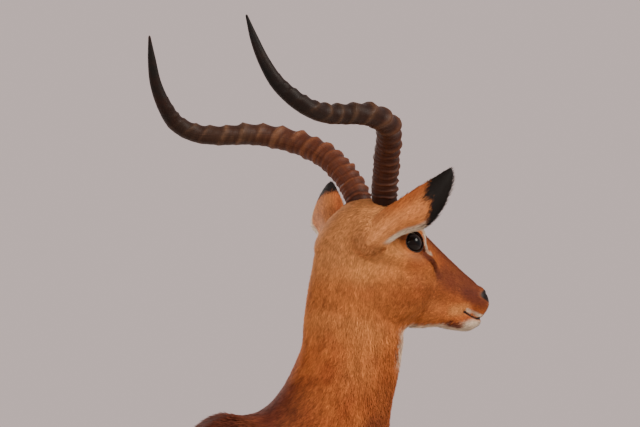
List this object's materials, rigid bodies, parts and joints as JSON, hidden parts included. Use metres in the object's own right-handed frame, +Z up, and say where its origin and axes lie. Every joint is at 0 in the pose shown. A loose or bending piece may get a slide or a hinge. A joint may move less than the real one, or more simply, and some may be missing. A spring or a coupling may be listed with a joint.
{
  "type": "impala antelope",
  "caption": "Life-size standing male impala antelope with ringed lyre horns and its head turned a little to its left, as a still model with no joints",
  "frame": {"origin": "on the floor under the middle of the whole model's box", "axes": "+X forward along the trunk, +Y to the animal's left, +Z up"},
  "size_m": [1.0817, 0.4061, 1.4779],
  "materials": {
    "coat": "short fawn hair over skin",
    "pale_coat": "long white hair over skin",
    "horn": "ringed dark horn",
    "hoof": "dark smooth horn",
    "eye": "wet glossy eyeball"
  },
  "bodies": {
    "root": {"ear_left": "coat", "ear_right": "coat", "eye_left": "eye", "eye_right": "eye", "front_leg_left": "coat", "front_leg_right": "coat", "head": "coat", "hind_leg_left": "coat", "hind_leg_right": "coat", "hoof_front_left_left": "hoof", "hoof_front_left_right": "hoof", "hoof_front_right_left": "hoof", "hoof_front_right_right": "hoof", "hoof_hind_left_left": "hoof", "hoof_hind_left_right": "hoof", "hoof_hind_right_left": "hoof", "hoof_hind_right_right": "hoof", "horn_left": "horn", "horn_right": "horn", "neck": "coat", "tail": "pale_coat", "trunk": "coat"}
  },
  "joints": []
}
